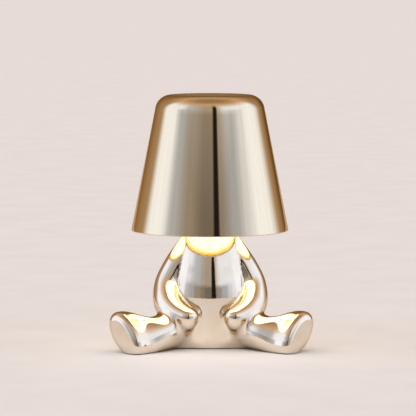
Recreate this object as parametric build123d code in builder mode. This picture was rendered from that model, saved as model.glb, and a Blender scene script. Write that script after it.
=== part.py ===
"""Cordless table lamp: a seated figure whose head is a lift-off mirror shade.

The origin lies on the shade's axis at table level, +Z is up and the figure faces -Y.
Left and right are as seen from the front, so the right arm and leg lie at +X.
All sizes are in millimetres.
"""

import os
from math import cos, radians, tan

from build123d import *

# Overall
lamp_height = 200.0  # table to the crown of the shade
pad_height = 0.8  # body held off the table by its pads

# Shade
rim_height = 91.5
rim_radius = 63.0
shade_draft = 11.2  # degrees that the side leans in
shade_shoulder = 13.0
shade_wall = 2.0
rim_edge = 0.6
liner_wall = 0.8
liner_gap = 0.1  # glue between the lining and the shade

# Trunk: radius and height at each level of its outline
torso_top = 98.0
seat_radius = 34.4
belly_radius = 35.3
belly_height = 30.0
rib_radius = 34.6
rib_height = 45.0
waist_radius = 30.6
waist_height = 62.0
shoulder_radius = 22.6
shoulder_height = 88.0
neck_radius = 19.5
seat_flare = (0.04, 1.0)  # direction of the outline where it leaves the base
neck_roll = (-1.0, 1.2)  # direction of the outline where it ends at the neck
body_wall = 2.5
arm_wall = 4.0
top_wall = 4.0
floor_wall = 3.0
glue_line = 0.1  # joint between a limb and the trunk

# Lap: the rounded bulge across the front of the hips
lap_reach = 36.0
lap_radius = 13.0
lap_forward = 21.5
lap_height = 6.0
lap_round = 11.0

# Legs: distance along the leg, shift outwards, centre height, half length and half width
leg_splay = 45.0  # degrees from straight ahead
foot_lean = 45.0  # degrees that the foot falls outwards
hip = (10.0, 0.0, 17.0, 16.5, 16.5)
knee = (36.0, 3.0, 16.6, 17.2, 15.8)
ankle = (63.0, 1.5, 12.8, 15.4, 13.0)
ball = (77.0, 9.4, 13.6, 21.8, 12.4)
sole = (90.3, 8.4, 13.8, 21.5, 13.0)
sole_edge = 6.0

# Arms: centre and radius of each section, from the shoulder to the hand
arm_sections = (
    (9.0, -1.0, 88.5, 9.0),
    (18.0, -4.2, 75.0, 10.7),
    (26.6, -7.9, 61.5, 11.6),
    (32.0, -12.4, 47.8, 12.3),
    (32.2, -20.8, 36.4, 11.8),
    (27.0, -32.0, 29.8, 10.2),
    (18.6, -41.0, 26.2, 8.8),
)

# Base
cover_radius = 28.4
cover_thick = 2.5
cover_gap = 0.2
opening_radius = 22.6
pad_radius = 27.5
heel_pad_radius = 4.0
heel_pad_along = 75.0
heel_pad_out = 0.0
base_screw_across = 12.8
base_screw_along = 22.0
base_screw_radius = 1.25
base_screw_head = 2.5
countersink = 90.0  # degrees across the cone of the head
base_screw_length = 8.5
base_boss_radius = 2.8
base_boss_height = 7.5
screw_gap = 0.1

# Battery and ballast
cell_radius = 9.2
cell_length = 65.0
cell_edge = 1.0
cell_forward = 6.0
cradle_wall = 1.6
cradle_floor = 1.5
cradle_height = 40.0
cradle_gap = 0.2
ballast_radius = 22.0
ballast_thick = 7.0

# Light
sink_flange_radius = 19.0
sink_flange = 3.0
sink_spigot_radius = 17.2
sink_spigot = 4.0
diffuser_wall = 1.6
diffuser_height = 50.0
diffuser_round = 9.0
diffuser_gap = 0.2
led_board_radius = 16.4
led_board_thick = 1.6
led_count = 10
led_ring_radius = 12.2
led_length = 3.5
led_width = 2.8
led_thick = 0.7
led_screw_turn = 18.0  # degrees from +X, halfway between two light chips
led_screw_radius = 1.0
led_screw_head = 1.9
led_screw_head_thick = 1.2
led_screw_length = 4.0

# Stem and the shade's seat
stem_radius = 5.0
stem_bore = 3.8
stem_gap = 0.15
stem_collar_radius = 7.0
stem_collar = 2.0
washer_radius = 10.0
washer_thick = 1.5
nut_flats = 17.0
nut_height = 5.0
stem_tail = 2.0  # stem below its nut
cap_radius = 8.0
cap_thick = 2.5
cap_plug = 8.0
hub_radius = 15.0
hub_thick = 4.0
hub_wall = 2.6
hub_skirt = 8.0  # ring below the hub's plate
lift_gap = 0.3  # round the cap, so that the shade lifts straight off
magnet_thick = 2.5
magnet_gap = 0.1

# Controls at the back
panel_face = 31.4  # distance of the panel's face behind the axis
panel_thick = 2.0
panel_width = 24.0
panel_tall = 18.0
panel_corner = 5.0
panel_edge = 0.5
panel_height = 24.0
panel_gap = 0.2
panel_ledge = 2.0
frame_wall = 2.4
frame_depth = 2.9
button_shift = -5.0
button_radius = 4.2
button_proud = 0.8
button_flange = 0.7
button_flange_thick = 1.0
button_travel = 0.8
button_overtravel = 0.2  # left below the plunger when the button is fully in
button_gap = 0.3
button_edge = 0.6
usb_shift = 4.6
usb_width = 8.94
usb_tall = 3.26
usb_shell_wall = 0.3
usb_floor = 0.8
tongue_width = 6.7
tongue_length = 5.0
tongue_thick = 0.7
pipe_radius = 1.25
pipe_rise = 5.0
pipe_gap = 0.1

# Control board
board_back = 23.6
board_thick = 1.6
board_width = 28.0
board_low = 11.5
board_high = 47.5
board_screw_across = 11.6
board_screw_low = 14.4
board_screw_high = 44.4
board_boss_radius = 2.3
board_screw_radius = 1.0
board_screw_head = 1.9
board_screw_head_thick = 1.3
board_screw_length = 6.0
switch_side = 6.0
switch_thick = 3.5
plunger_radius = 1.7
switch_floor = 0.4
chip_side = 5.0
chip_thick = 1.2
coil_side = 6.0
coil_thick = 3.2
chip_shift = 6.0
chip_height = 26.0
indicator_width = 1.6
indicator_tall = 0.8
indicator_thick = 0.7

# Wires
wire_radius = 0.7
led_wire_x = (5.0, 7.4)
led_wire_y = 13.0
led_wire_z = 42.0
wire_hole_radius = 2.4
battery_wire_x = (-3.0, -6.0)
battery_wire_y = 14.0
battery_wire_z = 36.0
battery_wire_rise = 2.2
battery_wire_bend = 1.5
wire_bend = 3.0
connector_width = 6.4
connector_tall = 5.0
connector_depth = 4.0

# Levels and places that follow from the sizes above
underside = pad_height
cover_top = underside + cover_thick
floor_top = cover_top + floor_wall
neck_underside = torso_top - top_wall
sink_step = torso_top + sink_flange
sink_top = sink_step + sink_spigot
led_top = sink_top + led_board_thick
shade_ceiling = lamp_height - shade_wall
hub_seat = shade_ceiling - hub_thick - magnet_thick
stem_top = hub_seat - cap_thick
nut_top = neck_underside - washer_thick
stem_end = nut_top - nut_height - stem_tail
panel_back = panel_face - panel_thick
flange_front = panel_back - pipe_gap / 2
flange_back = flange_front - button_flange_thick
plunger_end = board_back + switch_floor + button_overtravel + button_travel
board_face = board_back - board_thick
cell_seat = cover_top + cradle_floor
led_wire_middle = (sum(led_wire_x) / 2, led_wire_y)
leg_line = Vector(0, -1, 0).rotate(Axis.Z, leg_splay)
leg_across = Vector(1, 0, 0).rotate(Axis.Z, leg_splay)
foot_line = Vector(0, 0, 1).rotate(Axis((0, 0, 0), leg_line), -foot_lean)

back = Plane(origin=(0, 0, 0), x_dir=(-1, 0, 0), z_dir=(0, 1, 0))  # drawn as seen from behind

os.makedirs("parts", exist_ok=True)


def save(piece, label):
    """Names a finished piece and writes it to its own file."""
    piece.part.label = label
    export_step(piece.part, f"parts/{label}.step")


def trunk(grow, low, high):
    """The pear-shaped trunk between two levels, its outline moved out by grow."""
    with BuildPart() as form:
        with BuildSketch(Plane.XZ):
            with BuildLine():
                side = Spline(
                    (seat_radius + grow, low),
                    (belly_radius + grow, belly_height),
                    (rib_radius + grow, rib_height),
                    (waist_radius + grow, waist_height),
                    (shoulder_radius + grow, shoulder_height),
                    (neck_radius + grow, high),
                    tangents=(seat_flare, neck_roll),
                )
                Polyline(side @ 1, (0, high), (0, low), side @ 0)
            make_face()
        revolve(axis=Axis.Z)
    return form.part


def lap(grow):
    """The rounded lap across the front of the hips."""
    with BuildPart() as form:
        with BuildSketch(Plane.YZ.offset(-lap_reach - grow)):
            with Locations((-lap_forward, lap_height)):
                Circle(lap_radius + grow)
        extrude(amount=2 * (lap_reach + grow))
        fillet(form.edges().filter_by(GeomType.CIRCLE), radius=lap_round)
    return form.part


def body(grow):
    """Trunk and lap together, cut flat underneath."""
    with BuildPart() as form:
        add(trunk(grow, underside - grow, torso_top + grow))
        add(lap(grow))
        split(bisect_by=Plane.XY.offset(underside - grow), keep=Keep.TOP)
    return form.part


def leg(inset):
    """The right leg and foot, its sections drawn in by inset."""
    with BuildPart() as form:
        for along, out, height, half_length, half_width in (hip, knee, ankle, ball, sole):
            reach = along - (inset if along == sole[0] else 0)
            centre = leg_line * reach + leg_across * out + Vector(0, 0, height)
            with BuildSketch(Plane(origin=centre, x_dir=foot_line, z_dir=leg_line)):
                Ellipse(half_length - inset, half_width - inset)
        loft()
        foot_edge = form.edges().sort_by(Axis((0, 0, 0), leg_line))[-1]
        fillet(foot_edge, radius=sole_edge - min(inset, sole_edge / 2))
        split(bisect_by=Plane.XY.offset(underside + inset), keep=Keep.TOP)
    return form.part


def arm(inset):
    """The right arm from the shoulder to the closed hand, drawn in by inset."""
    with BuildLine():
        line = Spline(*[section[:3] for section in arm_sections])
    with BuildPart() as form:
        for x, y, z, radius in arm_sections:
            along = line % line.param_at_point((x, y, z))
            plane = Plane(origin=(x, y, z), x_dir=(0, 0, 1), z_dir=along)
            with BuildSketch(plane):
                Circle(radius - inset)
        loft()
        with BuildSketch(plane):
            Circle(radius - inset)
            split(bisect_by=Plane.YZ, keep=Keep.TOP)
        revolve(axis=Axis(plane.origin, -plane.y_dir), revolution_arc=180)
    return form.part


def bell(inset, low):
    """The shade's form drawn in by inset, open below at a level."""
    slope = tan(radians(shade_draft))
    side_inset = inset / cos(radians(shade_draft))
    top = lamp_height - inset
    with BuildPart() as form:
        with BuildSketch(Plane.XZ):
            with BuildLine():
                Polyline(
                    (0, low),
                    (rim_radius - side_inset - slope * (low - rim_height), low),
                    (rim_radius - side_inset - slope * (top - rim_height), top),
                    (0, top),
                    close=True,
                )
            make_face()
        revolve(axis=Axis.Z)
        fillet(form.edges().group_by(Axis.Z)[-1], radius=shade_shoulder - inset)
    return form.part


# Trunk shell: hollow, open underneath, with its screw bosses and the frame of the rear panel
board_screw_middle = (board_screw_low + board_screw_high) / 2
board_screw_rise = board_screw_high - board_screw_low

with BuildPart() as fittings:
    with BuildSketch(Plane.XY.offset(cover_top)):
        with GridLocations(2 * base_screw_across, 2 * base_screw_along, 2, 2):
            Circle(base_boss_radius)
    extrude(amount=base_boss_height)
    with BuildSketch(back.offset(panel_back - frame_depth)):
        with Locations((0, panel_height)):
            RectangleRounded(
                panel_width + 2 * frame_wall,
                panel_tall + 2 * frame_wall,
                panel_corner + frame_wall,
            )
    extrude(amount=belly_radius)
    with BuildSketch(back.offset(board_back)):
        with Locations((0, board_screw_middle)):
            with GridLocations(2 * board_screw_across, board_screw_rise, 2, 2):
                Circle(board_boss_radius)
    extrude(amount=belly_radius)
    add(trunk(-body_wall / 2, underside, torso_top), mode=Mode.INTERSECT)

with BuildPart() as trunk_shell:
    add(body(0))
    add(trunk(-body_wall, floor_top, neck_underside), mode=Mode.SUBTRACT)
    add(fittings.part)
    with BuildSketch(Plane.XY.offset(underside)):
        Circle(cover_radius + cover_gap)
    extrude(amount=cover_thick, mode=Mode.SUBTRACT)
    with BuildSketch(Plane.XY.offset(cover_top)):
        Circle(opening_radius)
    extrude(amount=floor_wall, mode=Mode.SUBTRACT)
    with BuildSketch(Plane.XY.offset(cover_top)):
        with GridLocations(2 * base_screw_across, 2 * base_screw_along, 2, 2):
            Circle(base_screw_radius + screw_gap)
    extrude(amount=base_screw_length - cover_thick + screw_gap, mode=Mode.SUBTRACT)
    with BuildSketch(Plane.XY.offset(neck_underside)):
        Circle(stem_radius + stem_gap)
        with Locations(led_wire_middle):
            Circle(wire_hole_radius)
    extrude(amount=top_wall, mode=Mode.SUBTRACT)
    with BuildSketch(back.offset(panel_back)):
        with Locations((0, panel_height)):
            RectangleRounded(
                panel_width + 2 * panel_gap,
                panel_tall + 2 * panel_gap,
                panel_corner + panel_gap,
            )
    extrude(amount=belly_radius, mode=Mode.SUBTRACT)
    with BuildSketch(back.offset(panel_back - frame_depth)):
        with Locations((0, panel_height)):
            RectangleRounded(
                panel_width - 2 * panel_ledge,
                panel_tall - 2 * panel_ledge,
                panel_corner - panel_ledge,
            )
    extrude(amount=frame_depth, mode=Mode.SUBTRACT)
    with BuildSketch(back.offset(board_back)):
        with Locations((0, board_screw_middle)):
            with GridLocations(2 * board_screw_across, board_screw_rise, 2, 2):
                Circle(board_screw_radius + screw_gap)
    extrude(amount=board_screw_length - board_thick + screw_gap, mode=Mode.SUBTRACT)

with BuildPart() as torso_front:
    add(trunk_shell.part)
    split(bisect_by=Plane.XZ, keep=Keep.TOP)
save(torso_front, "torso_front")

with BuildPart() as torso_rear:
    add(trunk_shell.part)
    split(bisect_by=Plane.XZ, keep=Keep.BOTTOM)
save(torso_rear, "torso_rear")

# Limbs: hollow, bonded to the trunk
body_clear = body(glue_line)

with BuildPart() as leg_right:
    add(leg(0))
    add(leg(body_wall), mode=Mode.SUBTRACT)
    add(body_clear, mode=Mode.SUBTRACT)
save(leg_right, "leg_right")

with BuildPart() as leg_left:
    mirror(leg_right.part, about=Plane.YZ)
save(leg_left, "leg_left")

with BuildPart() as arm_right:
    add(arm(0))
    add(arm(arm_wall), mode=Mode.SUBTRACT)
    add(body_clear, mode=Mode.SUBTRACT)
    add(leg(-glue_line), mode=Mode.SUBTRACT)
save(arm_right, "arm_right")

with BuildPart() as arm_left:
    mirror(arm_right.part, about=Plane.YZ)
save(arm_left, "arm_left")

# Base
with BuildPart() as base_cover:
    with BuildSketch(Plane.XY.offset(underside)):
        Circle(cover_radius)
    extrude(amount=cover_thick)
    with Locations(Plane.XY.offset(underside).rotated((180, 0, 0))):
        with GridLocations(2 * base_screw_across, 2 * base_screw_along, 2, 2):
            CounterSinkHole(
                radius=base_screw_radius + screw_gap,
                counter_sink_radius=base_screw_head + 2 * screw_gap,
                depth=cover_thick,
                counter_sink_angle=countersink,
            )
save(base_cover, "base_cover")

with BuildPart() as base_screws:
    with BuildSketch(Plane.XY.offset(underside)):
        with GridLocations(2 * base_screw_across, 2 * base_screw_along, 2, 2):
            Circle(base_screw_head)
    extrude(amount=base_screw_head - base_screw_radius, taper=countersink / 2)
    with BuildSketch(Plane.XY.offset(underside)):
        with GridLocations(2 * base_screw_across, 2 * base_screw_along, 2, 2):
            Circle(base_screw_radius)
    extrude(amount=base_screw_length)
save(base_screws, "base_screws")

with BuildPart() as base_pad:
    with BuildSketch(Plane.XY):
        Circle(pad_radius)
    extrude(amount=pad_height)
save(base_pad, "base_pad")

heel = leg_line * heel_pad_along + leg_across * heel_pad_out
with BuildPart() as heel_pads:
    with BuildSketch(Plane.XY):
        with Locations((heel.X, heel.Y), (-heel.X, heel.Y)):
            Circle(heel_pad_radius)
    extrude(amount=pad_height)
save(heel_pads, "heel_pads")

with BuildPart() as ballast:
    with BuildSketch(Plane.XY.offset(cover_top)):
        Circle(ballast_radius)
        with Locations((0, -cell_forward)):
            Circle(cell_radius + 2 * cradle_gap + cradle_wall, mode=Mode.SUBTRACT)
    extrude(amount=ballast_thick)
save(ballast, "ballast")

# Battery
with BuildPart() as battery_cradle:
    with BuildSketch(Plane.XY.offset(cover_top)):
        with Locations((0, -cell_forward)):
            Circle(cell_radius + cradle_gap + cradle_wall)
    extrude(amount=cradle_height)
    with BuildSketch(Plane.XY.offset(cell_seat)):
        with Locations((0, -cell_forward)):
            Circle(cell_radius + cradle_gap)
    extrude(amount=cradle_height, mode=Mode.SUBTRACT)
save(battery_cradle, "battery_cradle")

with BuildPart() as battery_cell:
    with BuildSketch(Plane.XY.offset(cell_seat)):
        with Locations((0, -cell_forward)):
            Circle(cell_radius)
    extrude(amount=cell_length)
    fillet(battery_cell.edges(), radius=cell_edge)
save(battery_cell, "battery_cell")

# Light, clamped to the top of the trunk by the stem
with BuildPart() as heat_sink:
    with BuildSketch(Plane.XY.offset(torso_top)):
        Circle(sink_flange_radius)
    extrude(amount=sink_flange)
    with BuildSketch(Plane.XY.offset(sink_step)):
        Circle(sink_spigot_radius)
    extrude(amount=sink_spigot)
    with BuildSketch(Plane.XY.offset(torso_top)):
        Circle(stem_radius + stem_gap)
        with Locations(led_wire_middle):
            Circle(wire_hole_radius)
    extrude(amount=sink_flange + sink_spigot, mode=Mode.SUBTRACT)
    with BuildSketch(Plane.XY.offset(sink_top)):
        with PolarLocations(led_ring_radius, 2, start_angle=led_screw_turn):
            Circle(led_screw_radius + screw_gap)
    extrude(amount=led_board_thick - led_screw_length - screw_gap, mode=Mode.SUBTRACT)
save(heat_sink, "heat_sink")

with BuildPart() as led_board:
    with BuildSketch(Plane.XY.offset(sink_top)):
        Circle(led_board_radius)
        Circle(stem_collar_radius + lift_gap, mode=Mode.SUBTRACT)
        with PolarLocations(led_ring_radius, 2, start_angle=led_screw_turn):
            Circle(led_screw_radius + screw_gap, mode=Mode.SUBTRACT)
    extrude(amount=led_board_thick)
save(led_board, "led_board")

with BuildPart() as leds:
    with BuildSketch(Plane.XY.offset(led_top)):
        with PolarLocations(led_ring_radius, led_count):
            Rectangle(led_length, led_width)
    extrude(amount=led_thick)
save(leds, "leds")

with BuildPart() as led_board_screws:
    with BuildSketch(Plane.XY.offset(led_top)):
        with PolarLocations(led_ring_radius, 2, start_angle=led_screw_turn):
            Circle(led_screw_head)
    extrude(amount=led_screw_head_thick)
    with BuildSketch(Plane.XY.offset(led_top)):
        with PolarLocations(led_ring_radius, 2, start_angle=led_screw_turn):
            Circle(led_screw_radius)
    extrude(amount=-led_screw_length)
save(led_board_screws, "led_board_screws")

diffuser_inside = sink_spigot_radius + diffuser_gap
diffuser_outside = diffuser_inside + diffuser_wall
with BuildPart() as diffuser:
    with BuildSketch(Plane.XY.offset(sink_step)):
        Circle(diffuser_outside)
    extrude(amount=diffuser_height)
    fillet(diffuser.edges().group_by(Axis.Z)[-1], radius=diffuser_round)
    offset(amount=-diffuser_wall, openings=diffuser.faces().sort_by(Axis.Z)[0])
    with BuildSketch(Plane.XY.offset(sink_step)):
        Circle(stem_radius + lift_gap)
    extrude(amount=diffuser_height, mode=Mode.SUBTRACT)
save(diffuser, "diffuser")

with BuildPart() as stem:
    with BuildSketch(Plane.XY.offset(stem_end)):
        Circle(stem_radius)
    extrude(amount=stem_top - stem_end)
    with BuildSketch(Plane.XY.offset(sink_top)):
        Circle(stem_collar_radius)
    extrude(amount=stem_collar)
    with BuildSketch(Plane.XY.offset(stem_end)):
        Circle(stem_bore)
    extrude(amount=stem_top - stem_end, mode=Mode.SUBTRACT)
save(stem, "stem")

with BuildPart() as stem_washer:
    with BuildSketch(Plane.XY.offset(nut_top)):
        Circle(washer_radius)
        Circle(stem_radius + stem_gap, mode=Mode.SUBTRACT)
    extrude(amount=washer_thick)
save(stem_washer, "stem_washer")

with BuildPart() as stem_nut:
    with BuildSketch(Plane.XY.offset(nut_top)):
        RegularPolygon(nut_flats / 2, 6, major_radius=False)
        Circle(stem_radius + screw_gap, mode=Mode.SUBTRACT)
    extrude(amount=-nut_height)
save(stem_nut, "stem_nut")

with BuildPart() as stem_cap:
    with BuildSketch(Plane.XY.offset(stem_top)):
        Circle(cap_radius)
    extrude(amount=cap_thick)
    with BuildSketch(Plane.XY.offset(stem_top)):
        Circle(stem_bore - screw_gap)
    extrude(amount=-cap_plug)
save(stem_cap, "stem_cap")

# Shade: lifts straight off the cap of the stem
with BuildPart() as shade:
    add(bell(0, rim_height))
    add(bell(shade_wall, rim_height), mode=Mode.SUBTRACT)
    fillet(shade.edges().group_by(Axis.Z)[0], radius=rim_edge)
save(shade, "shade")

liner_outside = shade_wall + liner_gap
liner_inside = liner_outside + liner_wall
with BuildPart() as shade_liner:
    add(bell(liner_outside, rim_height + rim_edge))
    add(bell(liner_inside, rim_height + rim_edge), mode=Mode.SUBTRACT)
    with BuildSketch(Plane.XY.offset(shade_ceiling)):
        Circle(hub_radius + lift_gap)
    extrude(amount=-liner_inside, mode=Mode.SUBTRACT)
save(shade_liner, "shade_liner")

with BuildPart() as shade_hub:
    with BuildSketch(Plane.XY.offset(shade_ceiling)):
        Circle(hub_radius)
    extrude(amount=-hub_thick)
    with BuildSketch(Plane.XY.offset(shade_ceiling - hub_thick)):
        Circle(cap_radius + lift_gap + hub_wall)
        Circle(cap_radius + lift_gap, mode=Mode.SUBTRACT)
    extrude(amount=-hub_skirt)
save(shade_hub, "shade_hub")

with BuildPart() as hub_magnet:
    with BuildSketch(Plane.XY.offset(hub_seat)):
        Circle(cap_radius + lift_gap - magnet_gap)
    extrude(amount=magnet_thick)
save(hub_magnet, "hub_magnet")

# Rear panel and its controls
with BuildPart() as rear_panel:
    with BuildSketch(back.offset(panel_back)):
        with Locations((0, panel_height)):
            RectangleRounded(panel_width, panel_tall, panel_corner)
        with Locations((button_shift, panel_height)):
            Circle(button_radius + button_gap, mode=Mode.SUBTRACT)
        with Locations((usb_shift, panel_height)):
            SlotOverall(usb_width + 2 * panel_gap, usb_tall + 2 * panel_gap, mode=Mode.SUBTRACT)
        with Locations((usb_shift, panel_height + pipe_rise)):
            Circle(pipe_radius + pipe_gap, mode=Mode.SUBTRACT)
    extrude(amount=panel_thick)
    fillet(rear_panel.faces().sort_by(Axis.Y)[-1].outer_wire().edges(), radius=panel_edge)
save(rear_panel, "rear_panel")

with BuildPart() as power_button:
    with BuildSketch(back.offset(flange_back)):
        with Locations((button_shift, panel_height)):
            Circle(button_radius + button_flange)
    extrude(amount=button_flange_thick)
    with BuildSketch(back.offset(flange_front)):
        with Locations((button_shift, panel_height)):
            Circle(button_radius)
    extrude(amount=panel_face + button_proud - flange_front)
    fillet(power_button.edges().sort_by(Axis.Y)[-1], radius=button_edge)
save(power_button, "power_button")

with BuildPart() as switch_plunger:
    with BuildSketch(back.offset(flange_back)):
        with Locations((button_shift, panel_height)):
            Circle(plunger_radius)
    extrude(amount=plunger_end - flange_back)
save(switch_plunger, "switch_plunger")

with BuildPart() as tact_switch:
    with BuildSketch(back.offset(board_back)):
        with Locations((button_shift, panel_height)):
            Rectangle(switch_side, switch_side)
    extrude(amount=switch_thick)
    with BuildSketch(back.offset(board_back + switch_floor)):
        with Locations((button_shift, panel_height)):
            Circle(plunger_radius + button_gap)
    extrude(amount=switch_thick, mode=Mode.SUBTRACT)
save(tact_switch, "tact_switch")

with BuildPart() as usb_shell:
    with BuildSketch(back.offset(board_back)):
        with Locations((usb_shift, panel_height)):
            SlotOverall(usb_width, usb_tall)
    extrude(amount=panel_face - panel_gap - board_back)
    with BuildSketch(back.offset(board_back + usb_floor)):
        with Locations((usb_shift, panel_height)):
            SlotOverall(usb_width - 2 * usb_shell_wall, usb_tall - 2 * usb_shell_wall)
    extrude(amount=panel_face - board_back, mode=Mode.SUBTRACT)
save(usb_shell, "usb_shell")

with BuildPart() as usb_tongue:
    with BuildSketch(back.offset(board_back + usb_floor)):
        with Locations((usb_shift, panel_height)):
            Rectangle(tongue_width, tongue_thick)
    extrude(amount=tongue_length)
save(usb_tongue, "usb_tongue")

with BuildPart() as indicator_led:
    with BuildSketch(back.offset(board_back)):
        with Locations((usb_shift, panel_height + pipe_rise)):
            Rectangle(indicator_width, indicator_tall)
    extrude(amount=indicator_thick)
save(indicator_led, "indicator_led")

with BuildPart() as light_pipe:
    with BuildSketch(back.offset(board_back + indicator_thick)):
        with Locations((usb_shift, panel_height + pipe_rise)):
            Circle(pipe_radius)
    extrude(amount=panel_face - board_back - indicator_thick)
save(light_pipe, "light_pipe")

# Control board
with BuildPart() as control_board:
    with BuildSketch(back.offset(board_face)):
        with Locations((0, (board_low + board_high) / 2)):
            Rectangle(board_width, board_high - board_low)
        with Locations((0, board_screw_middle)):
            with GridLocations(2 * board_screw_across, board_screw_rise, 2, 2):
                Circle(board_screw_radius + screw_gap, mode=Mode.SUBTRACT)
    extrude(amount=board_thick)
save(control_board, "control_board")

with BuildPart() as board_screws:
    with BuildSketch(back.offset(board_face)):
        with Locations((0, board_screw_middle)):
            with GridLocations(2 * board_screw_across, board_screw_rise, 2, 2):
                Circle(board_screw_head)
    extrude(amount=-board_screw_head_thick)
    with BuildSketch(back.offset(board_face)):
        with Locations((0, board_screw_middle)):
            with GridLocations(2 * board_screw_across, board_screw_rise, 2, 2):
                Circle(board_screw_radius)
    extrude(amount=board_screw_length)
save(board_screws, "board_screws")

with BuildPart() as board_chips:
    with BuildSketch(back.offset(board_face)):
        with Locations((-chip_shift, chip_height)):
            Rectangle(chip_side, chip_side)
    extrude(amount=-chip_thick)
    with BuildSketch(back.offset(board_face)):
        with Locations((chip_shift, chip_height)):
            Rectangle(coil_side, coil_side)
    extrude(amount=-coil_thick)
save(board_chips, "board_chips")

led_socket = (-sum(led_wire_x) / 2, led_wire_z)
battery_socket = (-sum(battery_wire_x) / 2, battery_wire_z)
with BuildPart() as wire_connectors:
    with BuildSketch(back.offset(board_face)):
        with Locations(led_socket, battery_socket):
            Rectangle(connector_width, connector_tall)
    extrude(amount=-connector_depth)
save(wire_connectors, "wire_connectors")

# Wires inside the trunk
connector_face = board_face - connector_depth

with BuildPart() as led_wires:
    for x in led_wire_x:
        with BuildLine():
            run = FilletPolyline(
                (x, connector_face, led_wire_z),
                (x, led_wire_y, led_wire_z),
                (x, led_wire_y, sink_top),
                radius=wire_bend,
            )
        with BuildSketch(Plane(origin=run @ 0, z_dir=run % 0)):
            Circle(wire_radius)
        sweep(path=run)
save(led_wires, "led_wires")

with BuildPart() as battery_wires:
    for x in battery_wire_x:
        with BuildLine():
            run = FilletPolyline(
                (x, -cell_forward, cell_seat + cell_length),
                (x, -cell_forward, cell_seat + cell_length + battery_wire_rise),
                (x, battery_wire_y, cell_seat + cell_length + battery_wire_rise),
                (x, battery_wire_y, battery_wire_z),
                (x, connector_face, battery_wire_z),
                radius=battery_wire_bend,
            )
        with BuildSketch(Plane(origin=run @ 0, z_dir=run % 0)):
            Circle(wire_radius)
        sweep(path=run)
save(battery_wires, "battery_wires")
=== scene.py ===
"""Looks of a cordless table lamp: a plated seated figure under a lift-off mirror shade.

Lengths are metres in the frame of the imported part. Shapes are written in millimetres and scaled by MM.
"""

import math

import bpy
from mathutils import Matrix, Vector


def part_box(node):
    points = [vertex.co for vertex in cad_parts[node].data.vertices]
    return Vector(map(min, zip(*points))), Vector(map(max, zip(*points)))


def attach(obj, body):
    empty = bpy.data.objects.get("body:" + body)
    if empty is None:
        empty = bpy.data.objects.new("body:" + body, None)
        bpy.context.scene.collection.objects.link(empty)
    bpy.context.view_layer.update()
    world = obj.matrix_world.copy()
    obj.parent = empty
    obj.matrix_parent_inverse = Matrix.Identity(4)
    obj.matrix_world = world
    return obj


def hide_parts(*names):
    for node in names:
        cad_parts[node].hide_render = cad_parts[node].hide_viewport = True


bl_info = {
    "name": "Seated figure table lamp",
    "version": (1, 0, 0),
    "blender": (4, 5, 0),
    "location": "View3D > Sidebar > Lamp",
    "description": "Dresses the packed table lamp with its plated figure, mirror shade and light",
    "category": "Object",
}

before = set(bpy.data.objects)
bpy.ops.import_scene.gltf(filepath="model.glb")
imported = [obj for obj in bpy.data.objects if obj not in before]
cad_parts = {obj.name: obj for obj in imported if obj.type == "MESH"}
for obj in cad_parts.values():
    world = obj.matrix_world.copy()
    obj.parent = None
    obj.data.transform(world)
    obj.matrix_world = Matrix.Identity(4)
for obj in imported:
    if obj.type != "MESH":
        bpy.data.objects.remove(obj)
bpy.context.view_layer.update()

MM = 0.001
UP = Vector((0, 0, 1))
RIGHT = Vector((1, 0, 0))
AHEAD = Vector((0, -1, 0))
RING = 48  # corners of a limb's ring
SPIN = 192  # steps of a turned piece
BUTTON_SPIN = 96
CREASE = math.radians(40)  # edges sharper than this stay sharp
WELD = 0.001 * MM  # corners nearer than this become one
SLIVER = 0.01 * MM  # what cutting leaves smaller than this is cleaned away
SOFTENING = 0.5  # share of the way that a softening pass moves a corner

# Trunk outline: radius and height
TRUNK = (
    (34.4, 0.8),
    (35.3, 30.0),
    (34.6, 45.0),
    (30.3, 62.0),
    (23.2, 88.0),
    (22.2, 93.5),
    (20.2, 98.0),
)
TRUNK_STEPS = 8
TRUNK_WALL = 2.5
TRUNK_TOP = 98.0
BELOW_FLOOR = -20.0  # the trunk runs on down before it is cut off, so softening leaves its foot alone
UNDERSIDE = 0.8
CAVITY = (6.3, 94.0)  # lowest and highest level

# Openings of the trunk, as radius, lowest and highest level
COVER_POCKET = (28.6, -2.0, 3.3)
BASE_OPENING = (22.6, 3.0, 7.0)
STEM_HOLE = (5.15, 93.0, 99.0)
# Rear panel's frame, pocket and window: width, height, corner, and the levels behind the axis
PANEL_HEIGHT = 24.0
PANEL_FRAME = (28.8, 22.8, 7.4, 26.5, 60.0)
PANEL_POCKET = (24.4, 18.4, 5.2, 29.4, 60.0)
PANEL_WINDOW = (20.0, 14.0, 3.0, 20.0, 30.0)
CORNER_STEPS = 10

# Lap: a rounded bar across the hips
LAP_REACH = 36.0
LAP_RADIUS = 13.0
LAP_ROUND = 11.0
LAP_STEPS = 14
LAP_PLACE = (-20.5, 5.5)  # forward and height

# Leg: distance along, shift outwards, height, half length and half width of each section
LEG = (
    (10.0, 0.0, 17.0, 16.5, 16.5),
    (36.0, 3.0, 16.6, 17.2, 15.8),
    (63.0, 1.5, 12.8, 15.4, 13.0),
    (77.0, 9.4, 13.6, 21.8, 12.4),
    (90.3, 8.4, 13.8, 21.5, 13.0),
)
LEG_SPLAY = math.radians(45.0)
FOOT_LEAN = math.radians(45.0)
LEG_STEPS = 24
SOLE_EDGE = 6.0

# Arm: centre and radius of each section, shoulder to hand
ARM = (
    (9.5, -3.0, 88.5, 10.0),
    (18.6, -5.0, 75.0, 10.6),
    (27.4, -7.6, 61.5, 11.0),
    (33.0, -11.0, 48.5, 11.6),
    (32.8, -20.0, 36.0, 12.4),
    (27.0, -32.0, 28.4, 11.0),
    (18.6, -41.0, 24.8, 9.4),
)
ARM_STEPS = 8
HAND_STEPS = 12

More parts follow.
